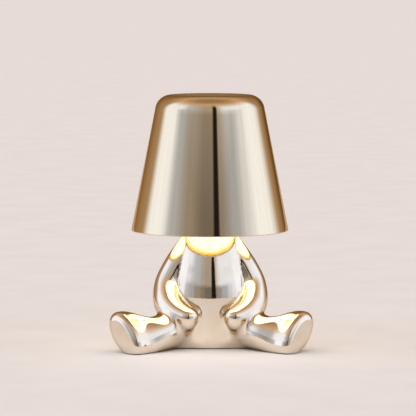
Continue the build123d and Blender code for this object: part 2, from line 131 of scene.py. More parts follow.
# Where the skin is softened most: where the softening starts and where it is full
LAP_SOFT_ACROSS = (50.0, 32.0)
LAP_SOFT_FORWARD = (-20.0, -30.0)
LAP_SOFT_HEIGHT = (32.0, 20.0)
NECK_SOFT_ACROSS = (19.0, 14.0)
NECK_SOFT_BELOW = (66.0, 76.0)
NECK_SOFT_ABOVE = (95.0, 91.0)
ANKLE_HOLLOW = (50.0, -53.0, 8.0)  # inner side of the foot
ANKLE_SOFT = (28.0, 10.0)  # distances from the hollow

# Turned pieces: longest runs of their outlines and steps of their rounded corners
SHADE_RUN = 4.0
SHADE_STEPS = 16
DIFFUSER_RUN = 3.0
BUTTON_RUN = 0.6
BUTTON_STEPS = 6
STEM_COLLAR = 1.7  # the stem's collar stands out this far past the hole in the diffuser
# Button: its flange and the lip round its dish
FLANGE_THICK = 1.0
FLANGE_EDGE = 0.2
CAP_EDGE = 0.6
LIP = 1.1
LIP_SLOPE = 0.4
LIP_EDGE = 0.3

# Grain of the finishes
DETAIL = 4.0
CONTRAST = (0.35, 0.65)  # part of the grain that is spread over the whole range
STREAK_RUN = 0.02  # streaks are drawn out fifty times along the side
CROWN_FADE = 0.6  # streaks are gone at this share of the crown's radius
SHADE_STREAKS = (2.0, 63, 40)  # width, radius that they are wrapped round and radius of the crown
PLATING_EDGE = "D8BE96"  # tint of the plating at a grazing look
# Glow of the lit pieces, and the painted glow of the lining, which is no lamp and only catches their light
LINING_PAINTED_GLOW = 0.85
PAINTED_AMBER_RISE = 3.0  # height of the painted amber glow along the lining's rim
DIFFUSER_GLOW = (0.9, 0.45)  # at its foot and at its top
CHIP_GLOW = 4.0
# Wires: how far they lie to each side, and the share of the whole width where each colour starts, 1 for red
WIRE_REACH = 10.0
WIRE_STARTS = ((0.0, 0), (0.275, 1), (0.5, 0), (0.81, 1))

# Stage, in metres and degrees, with the lens and the sensor in millimetres
FLOOR_SIZE = 600
SUN_HEIGHT = 2
SUN_LEAN = (12, -10)
SUN_SPREAD = 70
SUN_STRENGTH = 1.3
LENS = 219.2
SENSOR = 36
EYE_DISTANCE = 2.02
EYE_HEIGHT = 0.278
EYE_ROUND = -1.5  # how far round the lamp the camera stands
EYE_DOWN = 4.777
EYE_ASIDE = 0.043

# Tints of the studio's light
DAYLIGHT = "EAF1FF"
WARM_LIGHT = "FFEDDA"
AMBER_LIGHT = "FFD4A6"
SOFTBOX = 1.3  # brightness of the two softboxes at the lamp's sides
GAP = 0.015  # brightness of the dark gap between the front screens
REAR = 0.3  # brightness of the screen behind
# Screens level with the shade: degrees to the right of straight ahead of the figure, brightness, tint
SCREEN_LIGHT = (
    (-180, REAR, AMBER_LIGHT),
    (180, REAR, AMBER_LIGHT),
    (-122, 0.45, AMBER_LIGHT),
    (-102, SOFTBOX, DAYLIGHT),
    (-82, SOFTBOX, DAYLIGHT),
    (-62, 0.6, DAYLIGHT),
    (-35, 0.35, WARM_LIGHT),
    (-10, 0.2, WARM_LIGHT),
    (3.5, 0.2, WARM_LIGHT),
    (5, GAP, WARM_LIGHT),
    (12, GAP, WARM_LIGHT),
    (14, 0.3, WARM_LIGHT),
    (40, 0.55, DAYLIGHT),
    (65, 1.0, DAYLIGHT),
    (78, SOFTBOX, DAYLIGHT),
    (102, SOFTBOX, DAYLIGHT),
    (128, 0.45, AMBER_LIGHT),
    (150, 0.2, AMBER_LIGHT),
)
# Screens higher up, which are paler, and the upward slopes between which they take over
HIGH_SCREEN_LIGHT = (
    (-180, REAR, AMBER_LIGHT),
    (180, REAR, AMBER_LIGHT),
    (-122, 0.45, AMBER_LIGHT),
    (-102, SOFTBOX, DAYLIGHT),
    (-72, 1.2, DAYLIGHT),
    (-45, 0.65, DAYLIGHT),
    (-10, 0.45, WARM_LIGHT),
    (3.5, 0.45, WARM_LIGHT),
    (5, GAP, WARM_LIGHT),
    (12, GAP, WARM_LIGHT),
    (14, 0.6, WARM_LIGHT),
    (30, 1.1, DAYLIGHT),
    (65, 1.2, DAYLIGHT),
    (102, SOFTBOX, DAYLIGHT),
    (128, 0.45, AMBER_LIGHT),
)
HIGH_SCREEN_SLOPES = (0.30, 0.38)
# Overhead screen at its edge and in its middle, and the upward slopes between which each takes over
OVERHEAD_EDGE = 0.65
OVERHEAD_MIDDLE = 0.35
OVERHEAD_SLOPES = (0.60, 0.85, 0.98)


def linear(code):
    """The linear colour of an sRGB hex code."""
    parts = [int(code[i : i + 2], 16) / 255 for i in (0, 2, 4)]
    return [c / 12.92 if c <= 0.04045 else ((c + 0.055) / 1.055) ** 2.4 for c in parts]


def length(name, description, default):
    """A length in millimetres that the user can change."""
    return bpy.props.FloatProperty(
        name=name, description=description, default=default * MM, min=0, precision=5, unit="LENGTH"
    )


def passes(name, description, default):
    """A number of softening passes that the user can change."""
    return bpy.props.IntProperty(name=name, description=description, default=default, min=0)


def colour(name, description, code):
    """A colour that the user can change."""
    return bpy.props.FloatVectorProperty(
        name=name, description=description, default=linear(code), size=3, min=0, max=1, subtype="COLOR"
    )


class LampSizes(bpy.types.PropertyGroup):
    """Sizes of the modelled pieces"""

    skin_grid: length("Skin grid", "Grid on which the limbs are fused", 0.75)
    crease_passes: passes("Crease softening", "Softening passes over the whole skin", 10)
    lap_passes: passes("Lap softening", "Softening passes where the lap runs into the legs", 200)
    ankle_passes: passes("Ankle softening", "Softening passes where the feet run into the shins", 300)
    neck_passes: passes("Neck softening", "Softening passes on the front and back of the neck", 80)
    shade_draft: bpy.props.FloatProperty(
        name="Shade draft",
        description="Lean of the shade's side",
        default=math.radians(11.2),
        subtype="ANGLE",
    )
    shade_shoulder: length("Shade shoulder", "Radius between the shade's side and crown", 13)
    shade_wall: length("Shade wall", "Wall of the shade", 2)
    rim_edge: length("Rim edge", "Rounding of the shade's rim", 0.6)
    rim_radius: length("Rim radius", "Outside radius of the shade's rim", 63)
    diffuser_wall: length("Diffuser wall", "Wall of the opal diffuser", 1.6)
    diffuser_round: length("Diffuser shoulder", "Radius between the diffuser's side and top", 9)
    button_radius: length("Button radius", "Radius of the button's cap", 4.2)
    button_dish: length("Button dish", "Depth of the dish for the fingertip", 0.35)


class LampColours(bpy.types.PropertyGroup):
    """Colours of the finishes"""

    # Paler than the shade's plating: partly the figure's more silver tone, partly painted lighter to
    # brighten its reflections
    figure: colour("Figure", "Mirror plating of the figure", "F2E8DA")
    figure_deep: colour("Figure, warm patches", "Warmer patches of the figure's plating", "ECDFCD")
    shade: colour("Shade", "Mirror plating of the shade", "EFE2CB")
    shade_deep: colour("Shade, streaks", "Streaks in the shade's plating", "EADBC1")
    lining: colour("Lining", "White lining of the shade", "F7F3EA")
    # Painted amber glow along the lining's rim, standing in for warm light caught there, not a colour of
    # the lining
    lining_rim_painted_glow: colour("Lining at the rim", "Lining where it is thin at the rim", "F2B93C")
    glow: colour("Glow", "Light of the lit diffuser", "FFF3DF")
    panel: colour("Rear panel", "Dark plastic of the panel and base", "2E2B28")
    floor: colour("Floor", "Pale floor", "F1EFEC")


def put(tree, kind, links=None, **settings):
    """Adds a node to a tree, makes its settings and fills or links its inputs."""
    made = tree.nodes.new(kind)
    for name, value in settings.items():
        setattr(made, name, value)
    for name, value in (links or {}).items():
        if isinstance(value, bpy.types.NodeSocket):
            tree.links.new(value, made.inputs[name])
        else:
            made.inputs[name].default_value = value
    return made


def deselect_all():
    """Leaves nothing selected and no piece open."""
    if bpy.context.object and bpy.context.object.mode != "OBJECT":
        bpy.ops.object.mode_set(mode="OBJECT")
    bpy.ops.object.select_all(action="DESELECT")


def take(piece):
    """Selects one piece alone and makes it the active one."""
    deselect_all()
    bpy.context.view_layer.objects.active = piece
    piece.select_set(True)


def smooth_between(rows, steps):
    """A smooth line through rows of sizes, with some steps to each stretch."""
    rows = [Vector(row) for row in rows]
    gaps = [(b - a).length for a, b in zip(rows, rows[1:])]
    slopes = [(b - a) / gap for a, b, gap in zip(rows, rows[1:], gaps)]
    turns = [slopes[0]]
    for i in range(1, len(slopes)):
        turns.append((slopes[i - 1] * gaps[i] + slopes[i] * gaps[i - 1]) / (gaps[i - 1] + gaps[i]))
    turns.append(slopes[-1])
    line = []
    for i, gap in enumerate(gaps):
        for k in range(steps):
            t = k / steps
            line.append(
                rows[i] * (1 + 2 * t) * (1 - t) ** 2
                + turns[i] * gap * t * (1 - t) ** 2
                + rows[i + 1] * t * t * (3 - 2 * t)
                + turns[i + 1] * gap * t * t * (t - 1)
            )
    return line + [rows[-1]]


def add_ring(centre, across, along, half_a, half_b):
    """Adds one ring of a limb, in millimetres, square to the limb's line."""
    axes = Matrix((across, along.cross(across), along)).transposed()
    place = Vector(centre) * MM
    bpy.ops.mesh.primitive_circle_add(
        vertices=RING, radius=half_b * MM, location=place, rotation=axes.to_euler()
    )
    if half_a != half_b:
        bpy.ops.transform.resize(
            value=(half_a / half_b, 1, 1),
            orient_matrix=axes,
            orient_matrix_type="GLOBAL",
            center_override=place,
        )


def limb(name, rings):
    """Lofts rings into one closed limb."""
    deselect_all()
    bpy.ops.mesh.primitive_circle_add(vertices=RING, radius=MM, location=(0, 0, 0))
    piece = bpy.context.object
    piece.name = name
    bpy.ops.object.mode_set(mode="EDIT")
    bpy.ops.mesh.delete(type="VERT")
    for section in rings:
        add_ring(*section)
    bpy.ops.mesh.select_all(action="SELECT")
    bpy.ops.mesh.bridge_edge_loops()
    bpy.ops.mesh.select_all(action="SELECT")
    bpy.ops.mesh.fill_holes(sides=0)
    bpy.ops.mesh.select_all(action="SELECT")
    bpy.ops.mesh.normals_make_consistent(inside=False)
    bpy.ops.object.mode_set(mode="OBJECT")
    return piece


def trunk_rings(grow, low, high):
    """Rings of the trunk between two levels, moved out by grow."""
    line = [row for row in smooth_between(TRUNK, TRUNK_STEPS) if low < row[1] < high]
    outline = [(line[0][0], low)] + [tuple(row) for row in line] + [(line[-1][0], high)]
    return [((0, 0, z), RIGHT, UP, r + grow, r + grow) for r, z in outline]


def lap_rings():
    """Rings of the lap from left to right, drawn in to rounded ends."""
    places = []
    for k in range(LAP_STEPS + 1):
        places.append(LAP_REACH - LAP_ROUND * (1 - math.sin(math.pi / 2 * k / LAP_STEPS)))
    places = [-x for x in reversed(places)] + [0.0] + places
    rings = []
    for x in places:
        beyond = max(0.0, abs(x) - LAP_REACH + LAP_ROUND)
        radius = LAP_RADIUS - LAP_ROUND + math.sqrt(max(0.0, LAP_ROUND**2 - beyond**2))
        rings.append(((x, *LAP_PLACE), UP, RIGHT, radius, radius))
    return rings


def leg_rings(side):
    """Rings of one leg from the hip to the rounded edge of the sole."""
    line = Matrix.Rotation(LEG_SPLAY, 3, "Z") @ AHEAD
    across = Matrix.Rotation(LEG_SPLAY, 3, "Z") @ RIGHT
    foot = Matrix.Rotation(-FOOT_LEAN, 3, line) @ UP
    flip = Vector((side, 1, 1))
    rings = []
    for along, out, height, half_length, half_width in smooth_between(LEG, LEG_STEPS):
        left = max(0.0, SOLE_EDGE - (LEG[-1][0] - along))
        inset = SOLE_EDGE - math.sqrt(max(0.0, SOLE_EDGE**2 - left**2))
        centre = line * along + across * out + UP * height
        rings.append((centre * flip, foot * flip, line * flip, half_length - inset, half_width - inset))
    return rings


def arm_rings(side):
    """Rings of one arm from the shoulder to the rounded hand."""
    flip = Vector((side, 1, 1))
    line = smooth_between(ARM, ARM_STEPS)
    rings = []
    for i, row in enumerate(line):
        along = (line[min(i + 1, len(line) - 1)] - line[max(i - 1, 0)]).xyz.normalized()
        rings.append((row.xyz, along, row[3]))
    centre, along, radius = rings[-1]
    for k in range(1, HAND_STEPS):
        turn = math.pi / 2 * k / HAND_STEPS
        rings.append((centre + along * radius * math.sin(turn), along, radius * math.cos(turn)))
    made = []
    for centre, along, radius in rings:
        across = (UP - along * UP.dot(along)).normalized()
        made.append((centre * flip, across * flip, along * flip, radius, radius))
    return made


def apply_modifier(piece, kind, **settings):
    """Adds a modifier to a piece and applies it."""
    take(piece)
    made = piece.modifiers.new(kind.title(), kind)
    for name, value in settings.items():
        setattr(made, name, value)
    bpy.ops.object.modifier_apply(modifier=made.name)


def cut(piece, cutter):
    """Cuts one closed piece out of another and throws the cutter away."""
    apply_modifier(piece, "BOOLEAN", object=cutter, operation="DIFFERENCE", solver="MANIFOLD")
    bpy.data.objects.remove(cutter)


def drum(name, radius, low, high):
    """A round cutter between two levels."""
    deselect_all()
    middle = (0, 0, (low + high) / 2 * MM)
    bpy.ops.mesh.primitive_cylinder_add(
        vertices=SPIN, radius=radius * MM, depth=(high - low) * MM, location=middle
    )
    piece = bpy.context.object
    piece.name = name
    bpy.ops.object.transform_apply(location=True, rotation=True, scale=True)
    return piece


def slab(name, width, tall, corner, front, rear):
    """A cutter with rounded corners that runs backwards through the rear of the trunk."""
    deselect_all()
    middle = (0, (front + rear) / 2 * MM, PANEL_HEIGHT * MM)
    bpy.ops.mesh.primitive_cube_add(size=MM, location=middle)
    piece = bpy.context.object
    piece.name = name
    bpy.ops.transform.resize(value=(width, rear - front, tall))
    bpy.ops.object.transform_apply(location=True, rotation=True, scale=True)
    bpy.ops.object.mode_set(mode="EDIT")
    bpy.ops.mesh.select_mode(type="EDGE")
    bpy.ops.mesh.select_all(action="DESELECT")
    bpy.ops.object.mode_set(mode="OBJECT")
    corners = piece.data.vertices
    for edge in piece.data.edges:
        run = corners[edge.vertices[0]].co - corners[edge.vertices[1]].co
        edge.select = abs(run.y) > max(abs(run.x), abs(run.z))
    bpy.ops.object.mode_set(mode="EDIT")
    bpy.ops.mesh.bevel(offset=corner * MM, segments=CORNER_STEPS, affect="EDGES")
    bpy.ops.mesh.select_mode(type="VERT")
    bpy.ops.object.mode_set(mode="OBJECT")
    return piece


def join(pieces, name):
    """Joins pieces into the first one."""
    deselect_all()
    for piece in pieces:
        piece.select_set(True)
    bpy.context.view_layer.objects.active = pieces[0]
    bpy.ops.object.join()
    pieces[0].name = name
    return pieces[0]


def ease(start, end, value):
    """Rises smoothly from 0 at start to 1 at end."""
    t = min(1.0, max(0.0, (value - start) / (end - start)))
    return t * t * (3 - 2 * t)


def lap_weight(x, y, z):
    """How much of the lap's softening a place takes."""
    return ease(*LAP_SOFT_FORWARD, y) * ease(*LAP_SOFT_HEIGHT, z) * ease(*LAP_SOFT_ACROSS, abs(x))


def ankle_weight(x, y, z):
    """How much of the ankles' softening a place takes."""
    return ease(*ANKLE_SOFT, (Vector((abs(x), y, z)) - Vector(ANKLE_HOLLOW)).length)


def neck_weight(x, y, z):
    """How much of the neck's softening a place takes."""
    return ease(*NECK_SOFT_BELOW, z) * ease(*NECK_SOFT_ABOVE, z) * ease(*NECK_SOFT_ACROSS, abs(x))


def mark(piece, name, weigh):
    """Gives a piece a group in which each corner has the weight that its place earns."""
    group = piece.vertex_groups.new(name=name)
    for corner in piece.data.vertices:
        weight = weigh(*(corner.co / MM))
        if weight > 0:
            group.add([corner.index], weight, "REPLACE")


class LAMP_OT_figure(bpy.types.Operator):
    """Fuses trunk, lap, arms and legs into the plated figure and opens it for its fittings"""

    bl_idname = "lamp.figure"
    bl_label = "Figure"

    def execute(self, context):
        sizes = context.scene.lamp_sizes
        parts = [limb("trunk", trunk_rings(0, BELOW_FLOOR, TRUNK_TOP)), limb("lap", lap_rings())]
        for side in (1, -1):
            parts.append(limb("leg", leg_rings(side)))
            parts.append(limb("arm", arm_rings(side)))
        figure = join(parts, "figure_skin")
        apply_modifier(figure, "REMESH", mode="VOXEL", voxel_size=sizes.skin_grid)
        # All groups are marked before any softening moves the skin
        mark(figure, "soft_lap", lap_weight)
        mark(figure, "soft_ankles", ankle_weight)
        mark(figure, "soft_neck", neck_weight)
        for group, times in (
            ("soft_lap", sizes.lap_passes),
            ("soft_neck", sizes.neck_passes),
            ("soft_ankles", sizes.ankle_passes),
            ("", sizes.crease_passes),
        ):
            apply_modifier(figure, "SMOOTH", factor=SOFTENING, iterations=times, vertex_group=group)
        take(figure)
        bpy.ops.object.mode_set(mode="EDIT")
        bpy.ops.mesh.select_all(action="SELECT")
        bpy.ops.mesh.bisect(
            plane_co=(0, 0, UNDERSIDE * MM), plane_no=(0, 0, -1), use_fill=True, clear_outer=True
        )
        bpy.ops.object.mode_set(mode="OBJECT")
        cavity = limb("cavity", trunk_rings(-TRUNK_WALL, *CAVITY))
        cut(cavity, slab("frame", *PANEL_FRAME))
        cut(figure, cavity)
        for name, opening in (("cover", COVER_POCKET), ("base", BASE_OPENING), ("stem", STEM_HOLE)):
            cut(figure, drum(name, *opening))
        for name, opening in (("pocket", PANEL_POCKET), ("window", PANEL_WINDOW)):
            cut(figure, slab(name, *opening))
        take(figure)
        bpy.ops.object.mode_set(mode="EDIT")
        bpy.ops.mesh.select_all(action="SELECT")
        bpy.ops.mesh.dissolve_degenerate(threshold=SLIVER)
        bpy.ops.mesh.select_all(action="SELECT")
        bpy.ops.mesh.remove_doubles(threshold=SLIVER)
        bpy.ops.mesh.select_all(action="SELECT")
        bpy.ops.mesh.normals_make_consistent(inside=False)
        bpy.ops.object.mode_set(mode="OBJECT")
        bpy.ops.object.shade_smooth_by_angle(angle=CREASE)
        figure.data.materials.clear()
        figure.data.materials.append(bpy.data.materials["plated_abs_figure"])
        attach(figure, "lamp_body")
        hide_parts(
            "torso_front", "torso_rear", "arm_left", "arm_right", "leg_left", "leg_right"
        )
        return {"FINISHED"}


def drawn_outline(corners, steps=10):
    """An outline through corners given as radius, height and rounding, which is drawn as an arc."""
    points = []
    for i, (r, z, rounding) in enumerate(corners):
        here = Vector((r, z))
        if not rounding:
            points.append(here)
            continue
        before = (Vector(corners[i - 1][:2]) - here).normalized()
        after = (Vector(corners[i + 1][:2]) - here).normalized()
        half = before.angle(after) / 2
        centre = here + (before + after).normalized() * rounding / math.sin(half)
        start = here + before * rounding / math.tan(half) - centre
        end = here + after * rounding / math.tan(half) - centre
        sweep = start.angle_signed(end)
        for k in range(steps + 1):
            points.append(centre + Matrix.Rotation(-sweep * k / steps, 2) @ start)
    return points


def turned(name, outline, longest, steps=SPIN):
    """Draws an outline in millimetres point by point, long runs divided, and spins it round."""
    deselect_all()
    bpy.ops.mesh.primitive_plane_add(size=MM, location=(0, 0, 0))
    piece = bpy.context.object
    piece.name = name
    points = [outline[0]]
    for a, b in zip(outline, outline[1:]):
        runs = max(1, math.ceil((b - a).length / longest))
        points += [a.lerp(b, k / runs) for k in range(1, runs + 1)]
    bpy.ops.object.mode_set(mode="EDIT")
    bpy.ops.mesh.select_all(action="SELECT")
    bpy.ops.mesh.merge(type="CENTER")
    bpy.ops.transform.translate(value=(points[0].x * MM, 0, points[0].y * MM))
    for a, b in zip(points, points[1:]):
        step = ((b.x - a.x) * MM, 0, (b.y - a.y) * MM)
        bpy.ops.mesh.extrude_region_move(TRANSFORM_OT_translate={"value": step})
    bpy.ops.mesh.select_all(action="SELECT")
    bpy.ops.mesh.remove_doubles(threshold=WELD)
    bpy.ops.mesh.spin(steps=steps, angle=2 * math.pi, center=(0, 0, 0), axis=(0, 0, 1))
    bpy.ops.mesh.select_all(action="SELECT")
    bpy.ops.mesh.remove_doubles(threshold=WELD)
    bpy.ops.mesh.select_all(action="SELECT")
    bpy.ops.mesh.normals_make_consistent(inside=False)
    bpy.ops.object.mode_set(mode="OBJECT")
    bpy.ops.object.shade_smooth_by_angle(angle=CREASE)
    return piece


class LAMP_OT_shade(bpy.types.Operator):
    """Turns the mirror shade"""

    bl_idname = "lamp.shade"
    bl_label = "Shade"

    def execute(self, context):
        sizes = context.scene.lamp_sizes
        low, high = (corner.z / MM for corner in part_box("shade"))
        wall, edge = sizes.shade_wall / MM, sizes.rim_edge / MM
        shoulder, rim = sizes.shade_shoulder / MM, sizes.rim_radius / MM
        slope = math.tan(sizes.shade_draft)
        inner = wall / math.cos(sizes.shade_draft)
        crown = rim - slope * (high - low)
        outline = drawn_outline(
            [
                (0, high, 0),
                (crown, high, shoulder),
                (rim, low, edge),
                (rim - inner, low, edge),
                (crown + slope * wall - inner, high - wall, shoulder - wall),
                (0, high - wall, 0),
            ],
            steps=SHADE_STEPS,
        )
        shade = turned("shade_skin", outline, SHADE_RUN)
        shade.data.materials.append(bpy.data.materials["plated_abs_shade"])
        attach(shade, "shade")
        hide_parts("shade")
        return {"FINISHED"}


class LAMP_OT_light(bpy.types.Operator):
    """Turns the lit diffuser round the stem"""

    bl_idname = "lamp.light"
    bl_label = "Light"

    def execute(self, context):
        sizes = context.scene.lamp_sizes
        lowest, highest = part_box("diffuser")
        low, high, radius = lowest.z / MM, highest.z / MM, highest.x / MM
        wall, shoulder = sizes.diffuser_wall / MM, sizes.diffuser_round / MM
        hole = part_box("stem")[1].x / MM - STEM_COLLAR
        outline = drawn_outline(
            [
                (radius - wall, low, 0),
                (radius, low, 0),
                (radius, high, shoulder),
                (hole, high, wall / 3),
                (hole, high - wall, wall / 3),
                (radius - wall, high - wall, shoulder - wall),
                (radius - wall, low, 0),
            ]
        )
        glow = turned("diffuser_glow", outline, DIFFUSER_RUN)
        glow.data.materials.append(bpy.data.materials["lit_opal_acrylic"])
        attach(glow, "lamp_body")
        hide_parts("diffuser")
        return {"FINISHED"}


class LAMP_OT_button(bpy.types.Operator):
    """Turns the push button with a dish for the fingertip and sets it in the rear panel"""

    bl_idname = "lamp.button"
    bl_label = "Button"

    def execute(self, context):
        sizes = context.scene.lamp_sizes
        lowest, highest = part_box("power_button")
        middle = (lowest + highest) / 2
        back, face = lowest.y / MM, highest.y / MM
        cap, dish = sizes.button_radius / MM, sizes.button_dish / MM
        flange = (highest.x - lowest.x) / 2 / MM
        outline = drawn_outline(
            [
                (0, back, 0),
                (flange, back, FLANGE_EDGE),
                (flange, back + FLANGE_THICK, FLANGE_EDGE),
                (cap, back + FLANGE_THICK, 0),
                (cap, face, CAP_EDGE),
                (cap - LIP, face, LIP_EDGE),
                (cap - LIP - LIP_SLOPE, face - dish, LIP_EDGE),
                (0, face - dish, 0),
            ],
            steps=BUTTON_STEPS,
        )
        button = turned("button_cap", outline, BUTTON_RUN, steps=BUTTON_SPIN)
        button.rotation_euler = (math.radians(-90), 0, 0)
        button.location = (middle.x, 0, middle.z)
        take(button)
        bpy.ops.object.transform_apply(location=True, rotation=True, scale=True)
        button.data.materials.append(bpy.data.materials["satin_plated_button"])
        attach(button, "power_button")
        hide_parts("power_button")
        return {"FINISHED"}


def new_finish(
    name, pale, deep, grain, stretch=(1, 1, 1), rough=(0.4, 0.5), relief=0.0, streaks=None, **sockets
):
    """A material whose colour, roughness and relief follow one grain, all sized in millimetres.

    Streaks run down a turned side: their width, the radius that they are wrapped round and the crown's,
    which has none.
    """
    material = bpy.data.materials.new(name)
    material.use_nodes = True
    tree = material.node_tree
    shader = tree.nodes["Principled BSDF"]
    place = put(tree, "ShaderNodeTexCoord").outputs["Object"]
    spread = put(tree, "ShaderNodeMapping", {"Vector": place, "Scale": stretch}).outputs["Vector"]
    fine = {"Vector": spread, "Scale": 1 / (grain * MM), "Detail": DETAIL}
    cloud = put(tree, "ShaderNodeTexNoise", fine).outputs["Fac"]
    if streaks:
        width, radius, crown = streaks
        vector = "ShaderNodeVectorMath"
        flat = put(tree, vector, {0: place, 1: (1, 1, 0)}, operation="MULTIPLY").outputs[0]
        unit = put(tree, vector, {0: flat}, operation="NORMALIZE").outputs[0]
        round_it = put(tree, vector, {0: unit, "Scale": radius * MM}, operation="SCALE").outputs[0]
        rise = put(tree, vector, {0: place, 1: (0, 0, STREAK_RUN)}, operation="MULTIPLY").outputs[0]
        wrap = put(tree, vector, {0: round_it, 1: rise}, operation="ADD").outputs[0]
        fine = {"Vector": wrap, "Scale": 1 / (width * MM), "Detail": DETAIL}
        lines = put(tree, "ShaderNodeTexNoise", fine).outputs["Fac"]
        out = put(tree, vector, {0: flat}, operation="LENGTH").outputs["Value"]
        limits = {"Value": out, "From Min": CROWN_FADE * crown * MM, "From Max": crown * MM}
        side = put(tree, "ShaderNodeMapRange", limits).outputs["Result"]
        cloud = put(tree, "ShaderNodeMix", {"Factor": side, 2: cloud, 3: lines}).outputs[0]
    limits = {"Value": cloud, "From Min": CONTRAST[0], "From Max": CONTRAST[1]}
    clear = put(tree, "ShaderNodeMapRange", limits).outputs["Result"]
    shades = {"Factor": clear, 6: (*pale, 1), 7: (*deep, 1)}
    tint = put(tree, "ShaderNodeMix", shades, data_type="RGBA").outputs[2]
    limits = {"Value": clear, "To Min": rough[0], "To Max": rough[1]}
    dull = put(tree, "ShaderNodeMapRange", limits).outputs["Result"]
    tree.links.new(tint, shader.inputs["Base Color"])
    tree.links.new(dull, shader.inputs["Roughness"])
    if relief:
        bump = put(tree, "ShaderNodeBump", {"Height": cloud, "Distance": relief * MM})
        tree.links.new(bump.outputs["Normal"], shader.inputs["Normal"])
    for socket, value in sockets.items():
        shader.inputs[socket.replace("_", " ")].default_value = value
    return tree, shader, tint


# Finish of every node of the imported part
NODE_FINISHES = {
    "plated_abs_figure": (
        "torso_front", "torso_rear", "arm_left", "arm_right", "leg_left", "leg_right"
    ),
    "plated_abs_shade": ("shade",),
    "satin_plated_button": ("power_button",),
    "sprayed_polystyrene": ("shade_liner",),
    "lit_opal_acrylic": ("diffuser",),
    "moulded_nylon": ("shade_hub", "battery_cradle", "wire_connectors"),
    "nickel_plated_magnet": ("hub_magnet",),
    "turned_steel": ("stem", "stem_cap"),
    "zinc_plated_steel": (
        "stem_nut", "stem_washer", "base_screws", "board_screws", "led_board_screws", "ballast"
    ),
    "turned_aluminium": ("heat_sink",),
    "white_solder_mask": ("led_board",),
    "dispensed_phosphor": ("leds",),
    "spark_grained_abs": ("base_cover", "rear_panel"),
    "pressed_rubber": ("base_pad", "heel_pads"),
    "shrunk_pvc_sleeve": ("battery_cell",),
    "green_solder_mask": ("control_board",),
    "moulded_epoxy": ("board_chips", "tact_switch", "usb_tongue", "switch_plunger"),
    "extruded_pvc_wire": ("led_wires", "battery_wires"),
    "drawn_stainless": ("usb_shell",),
    "clear_polycarbonate": ("light_pipe", "indicator_led"),
}


